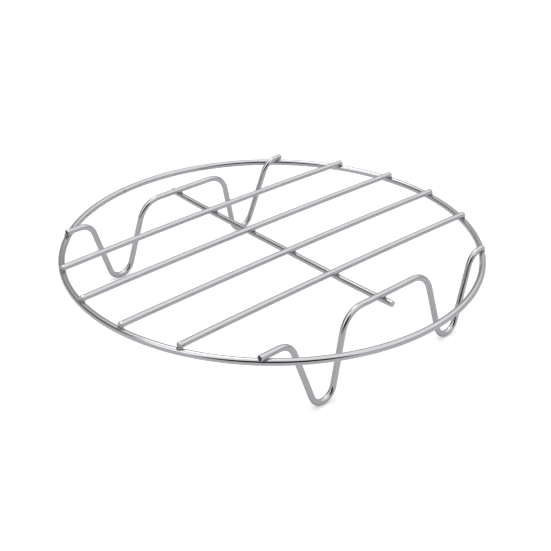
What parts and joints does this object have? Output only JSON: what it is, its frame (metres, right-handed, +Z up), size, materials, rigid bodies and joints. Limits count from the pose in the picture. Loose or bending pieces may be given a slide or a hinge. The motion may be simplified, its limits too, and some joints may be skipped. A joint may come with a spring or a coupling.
{
  "type": "cooling rack",
  "caption": "Round wire rack that holds hot food clear of the surface: rim ring, parallel crossbars over a brace, and two bent wire legs, spot welded.",
  "frame": {"origin": "on the surface that the four feet stand on, under the middle of the rim", "axes": "+X along the crossbars, +Y along the brace towards the rear leg wire, +Z up"},
  "size_m": [0.2112, 0.2112, 0.0419],
  "materials": {
    "rim_wire": "bright drawn stainless wire",
    "bar_wire": "bright drawn stainless wire",
    "brace_wire": "bright drawn stainless wire",
    "leg_wire": "bright drawn stainless wire",
    "weld": "cleaned spot weld, duller and slightly stained"
  },
  "bodies": {
    "root": {"rim_ring": "rim_wire", "front_outer_bar": "bar_wire", "front_inner_bar": "bar_wire", "rear_inner_bar": "bar_wire", "rear_outer_bar": "bar_wire", "brace_wire": "brace_wire", "front_leg_wire": "leg_wire", "rear_leg_wire": "leg_wire", "front_outer_bar_left_weld": "weld", "front_outer_bar_right_weld": "weld", "front_outer_bar_brace_weld": "weld", "front_inner_bar_left_weld": "weld", "front_inner_bar_right_weld": "weld", "front_inner_bar_brace_weld": "weld", "rear_inner_bar_left_weld": "weld", "rear_inner_bar_right_weld": "weld", "rear_inner_bar_brace_weld": "weld", "rear_outer_bar_left_weld": "weld", "rear_outer_bar_right_weld": "weld", "rear_outer_bar_brace_weld": "weld", "front_leg_wire_left_weld": "weld", "front_leg_wire_right_weld": "weld", "front_leg_wire_brace_weld": "weld", "rear_leg_wire_left_weld": "weld", "rear_leg_wire_right_weld": "weld", "rear_leg_wire_brace_weld": "weld", "rim_seam_weld": "weld"}
  },
  "joints": []
}
